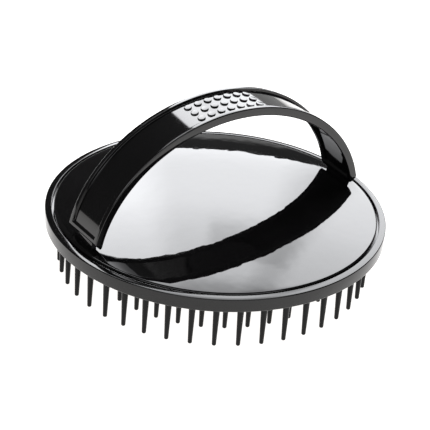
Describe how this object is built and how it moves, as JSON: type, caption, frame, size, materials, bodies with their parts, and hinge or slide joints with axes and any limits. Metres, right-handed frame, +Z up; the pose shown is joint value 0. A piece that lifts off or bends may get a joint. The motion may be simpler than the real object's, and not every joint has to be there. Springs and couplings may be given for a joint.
{
  "type": "curry comb",
  "caption": "Palm-held round curry comb with stiff tapered pins under a disc, a domed gloss cover and a rigid arched handle of I section.",
  "frame": {"origin": "on the resting plane at the pin tips, under the centre of the disc", "axes": "+Z up through the disc, X along the span of the handle, Y across the grip"},
  "size_m": [0.09, 0.09, 0.0483],
  "materials": {
    "tray_plastic": "moulded gloss black",
    "pin_plastic": "satin black",
    "cover_plastic": "mirror gloss black",
    "handle_plastic": "mirror gloss black"
  },
  "bodies": {
    "root": {"pin_tray": "tray_plastic", "pins_ring_1": "pin_plastic", "pins_ring_2": "pin_plastic", "pins_ring_3": "pin_plastic", "pins_ring_4": "pin_plastic", "pins_ring_5": "pin_plastic", "top_cover": "cover_plastic", "handle": "handle_plastic"}
  },
  "joints": []
}
